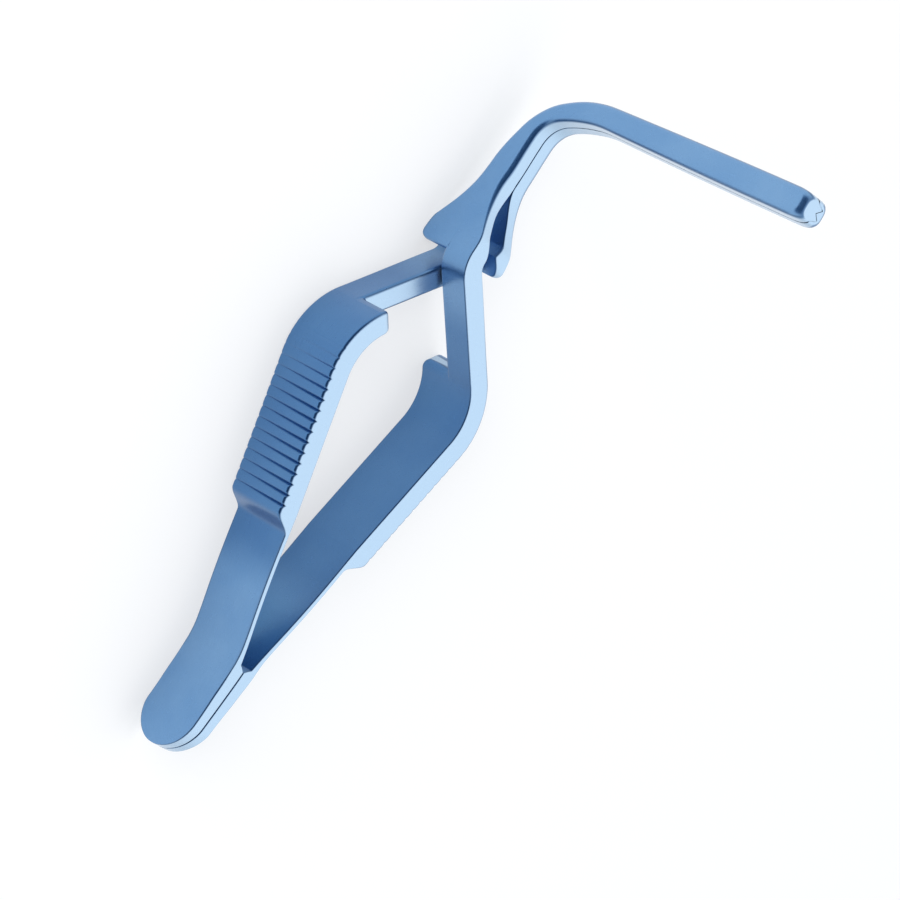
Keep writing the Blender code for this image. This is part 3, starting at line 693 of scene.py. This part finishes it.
tip_ends = SECTIONS[:, -1] / QUARTER_TURN
left_arm = skinned("left_arm_forging", arm_grid(-1), -1, tip_ends)
right_arm = skinned("right_arm_forging", arm_grid(1), 1, tip_ends)
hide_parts("left_arm")
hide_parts("right_arm")
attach(left_arm, "left_arm")
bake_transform(right_arm)


# Free ends of the heads
# Each head keeps its full width past the place where the other arm's neck goes by, so it ends there
# in a rounded tongue, forged in one with the head, whose inner side is cut off parallel to that neck.
TONGUE_LENGTH = 3.3
TONGUE_THICK = 0.9
TONGUE_CORNER = 0.8
TONGUE_SIDE_CORNER = 1.4
TONGUE_FLARE = 0.15
TONGUE_EDGE = 0.18
TONGUE_EDGE_SHARE = 0.4
TONGUE_LIFT = 0.5
TONGUE_ROOT = 1.8
TONGUE_PROUD = 0.004
TONGUE_SINK = 0.2
TONGUE_FIRST_TURN = 0.22
TONGUE_END_CUTS = 14
ROOT_CUTS = 0.3


def rounding(along, radius):
    """How far a corner of this radius lies inside its straight side at a distance from its end."""
    return radius - np.sqrt(radius ** 2 - np.clip(radius - along, 0, radius) ** 2)


def tongue_grid():
    """Rings of a rounded rectangle between the head's outer line and its inner line or the slanted
    cut, whichever is nearer. A corner of radius r takes r - sqrt(r^2 - (r - d)^2) off at distance d.
    Past the plate's start the tongue sinks into the head."""
    end = PLATE_START - TONGUE_LENGTH
    turn = np.linspace(TONGUE_FIRST_TURN, QUARTER_TURN, TONGUE_END_CUTS)
    y = np.concatenate([end + TONGUE_CORNER * (1 - np.cos(turn)),
                        spaced(end + TONGUE_CORNER, PLATE_START, HEAD_CUTS),
                        spaced(PLATE_START, PLATE_START + TONGUE_ROOT, ROOT_CUTS)])[:, None]
    slope = math.tan(HEAD_LEAN)
    root = np.clip((y - PLATE_START) / TONGUE_ROOT, 0, 1)
    proud = TONGUE_PROUD - TONGUE_SINK * root ** 2
    flare = TONGUE_FLARE * np.clip((HEAD_START - y) / (HEAD_START - end), 0, 1) ** 2
    face = -HEAD_APEX + slope * (y - HEAD_PLACE)
    cut_start = face[0] - TONGUE_FLARE + TONGUE_THICK
    low_x = face - flare - proud + rounding(y - end, TONGUE_CORNER)
    plate = face + eased(y, THICKNESS) / math.cos(HEAD_LEAN) + proud
    high_x = np.minimum(plate, cut_start + (y - end) / math.tan(NECK_ANGLE))
    low_z = -np.minimum(HALF_WIDTH, half_width(y) + proud) + rounding(y - end, TONGUE_SIDE_CORNER)
    high_z = NECK_FLANK + TONGUE_LIFT + 0 * y
    edge = np.minimum(TONGUE_EDGE, TONGUE_EDGE_SHARE * (high_x - low_x))
    rise, fall = edge * (1 - np.sin(QUARTER)), edge * (1 - np.cos(QUARTER))
    down = high_z - edge + (low_z - high_z + 2 * edge) * LAND
    x = np.concatenate([high_x - rise, high_x + 0 * down, high_x - fall,
                        low_x + rise, low_x + 0 * down, low_x + fall], axis=1)
    z = np.concatenate([high_z - fall, down, low_z + rise,
                        low_z + fall, down[:, ::-1], high_z - rise], axis=1)
    return np.stack([x, y + 0 * x, z], axis=-1)


tongue = tongue_grid()
no_end = np.zeros(len(tongue))
left_tongue = skinned("left_head_tongue", tongue, -1, no_end, covered=True)
right_tongue = skinned("right_head_tongue", tongue, 1, no_end, covered=True)
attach(left_tongue, "left_arm")
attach(right_tongue, "right_arm")


# Table
# The clamp lies on a plain white table. To the camera and in the metal's mirrored picture the table
# goes part of the way to plain white paper, which leaves a fainter shadow round the clamp.
TABLE_SIZE = 3.0
TABLE_WHITE = (0.95, 0.945, 0.94, 1.0)
PAPER_WHITE = (1.0, 1.0, 1.0, 1.0)
SHADOW_FADE = 0.6

half = TABLE_SIZE / 2
table_mesh = bpy.data.meshes.new("table")
table_mesh.from_pydata([(-half, -half, 0), (half, -half, 0), (half, half, 0), (-half, half, 0)], [],
                       [(0, 1, 2, 3)])
table = bpy.data.objects.new("table", table_mesh)
bpy.context.scene.collection.objects.link(table)
white = bpy.data.materials.new("white_table")
white.use_nodes = True
white.node_tree.nodes.clear()
top = Signal(white.node_tree)
matt = top.node("ShaderNodeBsdfDiffuse", {}, {"Color": TABLE_WHITE}, "BSDF")
paper = top.node("ShaderNodeEmission", {}, {"Color": PAPER_WHITE, "Strength": 1.0}, "Emission")
rays = top.node("ShaderNodeLightPath", {}, {}).socket.node.outputs
camera_ray = Signal(white.node_tree, rays["Is Camera Ray"])
glossy_ray = Signal(white.node_tree, rays["Is Glossy Ray"])
clear_ray = Signal(white.node_tree, rays["Is Transmission Ray"])
faded = (camera_ray + glossy_ray + clear_ray) * SHADOW_FADE
shown = top.node("ShaderNodeMixShader", {}, {0: faded, 1: matt, 2: paper}, "Shader")
top.node("ShaderNodeOutputMaterial", {}, {"Surface": shown})
table_mesh.materials.append(white)


# Studio light
# A pale room, brighter on the side beyond the clamp. Behind the camera it is dim and bluish, which
# the narrow rounded edges mirror as thin dark lines. Two wide soft lamps light the table and the
# clamp's faces, and are kept out of the metal's mirrored picture.
BRIGHT_SIDE = (0.728, 0.055, 0.683)
BRIGHT_FROM = 0.4
BRIGHT_SPAN = 0.6
BRIGHT_GAIN = 0.4
DIM_SIDE = (-0.728, -0.055, 0.683)
DIM_FROM = 0.45
DIM_SPAN = 0.3
DIM_LOSS = 0.8
ROOM_COLOUR = (0.97, 0.985, 1.0)
DIM_COLOUR = (0.25, 0.55, 1.0)
LAMP_SIZE = 0.7
LAMPS = (("left_lamp", (-0.9, 0.1, 0.45), 6.5), ("top_lamp", (0.1, 0.0, 1.0), 2.2))


def facing(sky, toward, side, start, span):
    """0 where the cosine between a direction and this side of the room is start or less, and rising
    evenly to 1 at start plus span."""
    cosine = sky.node("ShaderNodeVectorMath", {"operation": "DOT_PRODUCT"}, {0: toward, 1: side}, "Value")
    return ((cosine - start) / span).clamped()


room = bpy.data.worlds.new("soft_room")
room.use_nodes = True
room.node_tree.nodes.clear()
sky = Signal(room.node_tree)
toward = sky.node("ShaderNodeTexCoord", {}, {}, "Generated")
bright = facing(sky, toward, BRIGHT_SIDE, BRIGHT_FROM, BRIGHT_SPAN)
dim = facing(sky, toward, DIM_SIDE, DIM_FROM, DIM_SPAN)
strength = (1.0 + BRIGHT_GAIN * bright) * (1.0 - DIM_LOSS * dim)
colour = dim.mixed(ROOM_COLOUR, DIM_COLOUR)
glow = sky.node("ShaderNodeBackground", {}, {"Color": colour, "Strength": strength}, "Background")
sky.node("ShaderNodeOutputWorld", {}, {"Surface": glow})
bpy.context.scene.world = room

for name, place, power in LAMPS:
    light = bpy.data.lights.new(name, "AREA")
    light.size = LAMP_SIZE
    light.energy = power
    lamp = bpy.data.objects.new(name, light)
    lamp.location = place
    lamp.rotation_euler = Vector(place).to_track_quat("Z", "Y").to_euler()
    lamp.visible_glossy = False
    bpy.context.scene.collection.objects.link(lamp)


# Camera
# A long lens looks down on the clamp from its left side. The camera is rolled, so that the butt is at
# the lower left of the picture and the jaws are at the upper right.
CAMERA_PLACE = (-0.47997, -0.02522, 0.47155)
CAMERA_TURN = (-27.1545, -39.8413, 41.8342)
SENSOR_WIDTH = 36
FOCAL_LENGTH = 200
NEAR_LIMIT = 0.05
FAR_LIMIT = 20

view = bpy.data.cameras.new("view")
view.sensor_width = SENSOR_WIDTH
view.lens = FOCAL_LENGTH
view.clip_start = NEAR_LIMIT
view.clip_end = FAR_LIMIT
camera = bpy.data.objects.new("view", view)
camera.location = CAMERA_PLACE
camera.rotation_euler = Euler([math.radians(turn) for turn in CAMERA_TURN])
bpy.context.scene.collection.objects.link(camera)
bpy.context.scene.camera = camera
bpy.context.scene.view_settings.view_transform = "Standard"
